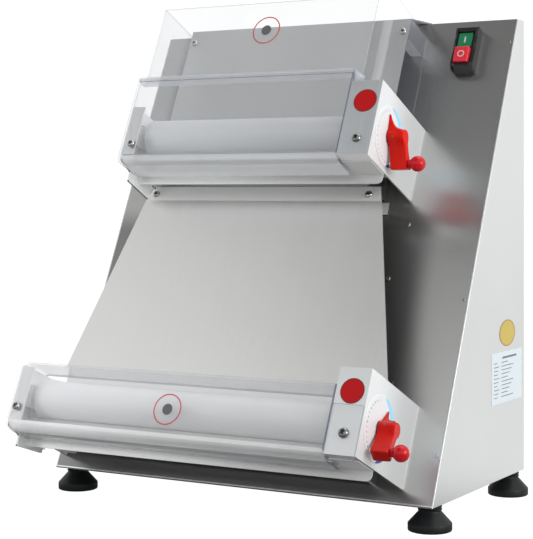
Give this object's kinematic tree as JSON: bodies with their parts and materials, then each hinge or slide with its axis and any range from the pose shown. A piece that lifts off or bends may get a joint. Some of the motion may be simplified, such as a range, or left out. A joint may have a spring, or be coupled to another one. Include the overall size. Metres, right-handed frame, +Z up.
{
  "type": "two stage dough roller",
  "caption": "Bench-top electric dough sheeter: two roller pairs on a sloping steel cabinet, clear guards, red gap levers, chute between them, switch and rubber feet.",
  "frame": {"origin": "centre of the whole machine's bounding box, on the floor plane under the feet", "axes": "+Z up, -Y towards the operator (the sloping front), +X to the side with the levers and the switch"},
  "size_m": [0.54, 0.4064, 0.6224],
  "materials": {
    "panel_steel": "brushed, dark reflections",
    "case_steel": "brushed",
    "sheet_steel": "fine brushed",
    "clear_plastic": "clear, polished",
    "dial_plastic": "white film on steel",
    "roller_plastic": "food-grade white, satin",
    "shaft_steel": "turned",
    "bearing_plastic": "natural, satin",
    "gear_plastic": "moulded",
    "red_plastic": "gloss",
    "belt_rubber": "matt",
    "motor_body": "cast",
    "black_plastic": "satin",
    "green_plastic": "gloss",
    "stop_red_plastic": "gloss",
    "screw_steel": "bright",
    "foot_rubber": "satin"
  },
  "bodies": {
    "cabinet": {"base_plate": "case_steel", "chute_brackets": "sheet_steel", "chute_plate": "sheet_steel", "cord_gland": "black_plastic", "cross_bars": "sheet_steel", "dial_plates": "dial_plastic", "drive_belts": "belt_rubber", "feed_plate": "sheet_steel", "front_panel": "panel_steel", "gearmotor": "motor_body", "jackshaft_bracket": "sheet_steel", "left_side_panel": "case_steel", "lower_bearing_plate": "sheet_steel", "lower_gear_case": "sheet_steel", "lower_guard": "clear_plastic", "lower_left_bracket": "sheet_steel", "panel_screws": "screw_steel", "plate_screws": "screw_steel", "rear_panel": "case_steel", "rear_scrapers": "sheet_steel", "right_side_panel": "case_steel", "roller_bearings": "bearing_plastic", "switch_body": "black_plastic", "unit_screws": "screw_steel", "upper_bearing_plate": "sheet_steel", "upper_gear_case": "sheet_steel", "upper_guard": "clear_plastic", "upper_left_bracket": "sheet_steel", "wiring_loom": "black_plastic"},
    "upper_rear_roller": {"upper_rear_roller": "roller_plastic", "upper_rear_shaft": "shaft_steel", "upper_rear_gear": "gear_plastic"},
    "upper_carriage": {"upper_bearing_blocks": "bearing_plastic", "upper_front_scraper": "sheet_steel"},
    "upper_front_roller": {"upper_front_roller": "roller_plastic", "upper_front_shaft": "shaft_steel", "upper_front_gear": "gear_plastic"},
    "upper_lever": {"upper_lever": "red_plastic", "upper_scroll_shaft": "shaft_steel"},
    "upper_index_knob": {"upper_index_knob": "red_plastic"},
    "lower_rear_roller": {"lower_rear_roller": "roller_plastic", "lower_rear_shaft": "shaft_steel", "lower_rear_gear": "gear_plastic"},
    "lower_carriage": {"lower_bearing_blocks": "bearing_plastic", "lower_front_scraper": "sheet_steel"},
    "lower_front_roller": {"lower_front_roller": "roller_plastic", "lower_front_shaft": "shaft_steel", "lower_front_gear": "gear_plastic"},
    "lower_lever": {"lower_lever": "red_plastic", "lower_scroll_shaft": "shaft_steel"},
    "lower_index_knob": {"lower_index_knob": "red_plastic"},
    "jackshaft": {"jackshaft": "shaft_steel"},
    "motor_shaft": {"motor_shaft": "shaft_steel", "motor_pulleys": "gear_plastic"},
    "start_button": {"start_button": "green_plastic"},
    "stop_button": {"stop_button": "stop_red_plastic"},
    "foot_front_left": {"foot_front_left": "foot_rubber"},
    "foot_front_right": {"foot_front_right": "foot_rubber"},
    "foot_rear_left": {"foot_rear_left": "foot_rubber"},
    "foot_rear_right": {"foot_rear_right": "foot_rubber"}
  },
  "joints": [
    {"name": "lower_rear_spin", "type": "hinge", "parent": "cabinet", "child": "lower_rear_roller", "pos_m": [0, -0.10571, 0.10319], "axis": [1, 0, 0], "continuous": true},
    {"name": "upper_rear_spin", "type": "hinge", "parent": "cabinet", "child": "upper_rear_roller", "pos_m": [0, 0.04355, 0.42474], "axis": [1, 0, 0], "continuous": true},
    {"name": "upper_carriage_slide", "type": "slide", "parent": "cabinet", "child": "upper_carriage", "axis": [0, -0.907, 0.421], "range_m": [-0.005, 0]},
    {"name": "lower_carriage_slide", "type": "slide", "parent": "cabinet", "child": "lower_carriage", "axis": [0, -0.907, 0.421], "range_m": [-0.00361, 0.00139]},
    {"name": "upper_front_spin", "type": "hinge", "parent": "upper_carriage", "child": "upper_front_roller", "pos_m": [0, -0.00407, 0.44684], "axis": [1, 0, 0], "continuous": true},
    {"name": "lower_front_spin", "type": "hinge", "parent": "lower_carriage", "child": "lower_front_roller", "pos_m": [0, -0.15207, 0.12471], "axis": [1, 0, 0], "continuous": true},
    {"name": "upper_lever_turn", "type": "hinge", "parent": "cabinet", "child": "upper_lever", "pos_m": [0.162, 0.00183, 0.44411], "axis": [1, 0, 0], "range_deg": [-180, 0]},
    {"name": "lower_lever_turn", "type": "hinge", "parent": "cabinet", "child": "lower_lever", "pos_m": [0.2215, -0.14743, 0.12256], "axis": [1, 0, 0], "range_deg": [-130, 50]},
    {"name": "upper_knob_pull", "type": "slide", "parent": "upper_lever", "child": "upper_index_knob", "axis": [1, 0, 0], "range_m": [0, 0.005], "stiffness_N_per_m": 800, "springref_m": -0.003},
    {"name": "lower_knob_pull", "type": "slide", "parent": "lower_lever", "child": "lower_index_knob", "axis": [1, 0, 0], "range_m": [0, 0.005], "stiffness_N_per_m": 800, "springref_m": -0.003},
    {"name": "jackshaft_spin", "type": "hinge", "parent": "cabinet", "child": "jackshaft", "pos_m": [0.13, 0.14028, 0.42474], "axis": [1, 0, 0], "continuous": true},
    {"name": "motor_spin", "type": "hinge", "parent": "cabinet", "child": "motor_shaft", "pos_m": [0.13, 0.10428, 0.114], "axis": [1, 0, 0], "continuous": true},
    {"name": "start_press", "type": "slide", "parent": "cabinet", "child": "start_button", "axis": [0, 0.907, -0.421], "range_m": [0, 0.003], "stiffness_N_per_m": 900, "springref_m": -0.001},
    {"name": "stop_press", "type": "slide", "parent": "cabinet", "child": "stop_button", "axis": [0, 0.907, -0.421], "range_m": [0, 0.0035], "stiffness_N_per_m": 900, "springref_m": -0.001},
    {"name": "foot_front_left_level", "type": "slide", "parent": "cabinet", "child": "foot_front_left", "axis": [0, 0, -1], "range_m": [0, 0.01]},
    {"name": "foot_front_right_level", "type": "slide", "parent": "cabinet", "child": "foot_front_right", "axis": [0, 0, -1], "range_m": [0, 0.01]},
    {"name": "foot_rear_left_level", "type": "slide", "parent": "cabinet", "child": "foot_rear_left", "axis": [0, 0, -1], "range_m": [0, 0.01]},
    {"name": "foot_rear_right_level", "type": "slide", "parent": "cabinet", "child": "foot_rear_right", "axis": [0, 0, -1], "range_m": [0, 0.01]}
  ],
  "couplings": [
    {"joint": "upper_rear_spin", "follows": "lower_rear_spin", "ratio": 1},
    {"joint": "upper_front_spin", "follows": "lower_rear_spin", "ratio": -1},
    {"joint": "lower_front_spin", "follows": "lower_rear_spin", "ratio": -1},
    {"joint": "jackshaft_spin", "follows": "lower_rear_spin", "ratio": 1},
    {"joint": "motor_spin", "follows": "lower_rear_spin", "ratio": 1},
    {"joint": "upper_lever_turn", "follows": "upper_carriage_slide", "rad_per_m": 628.32},
    {"joint": "lower_lever_turn", "follows": "lower_carriage_slide", "rad_per_m": 628.32}
  ]
}
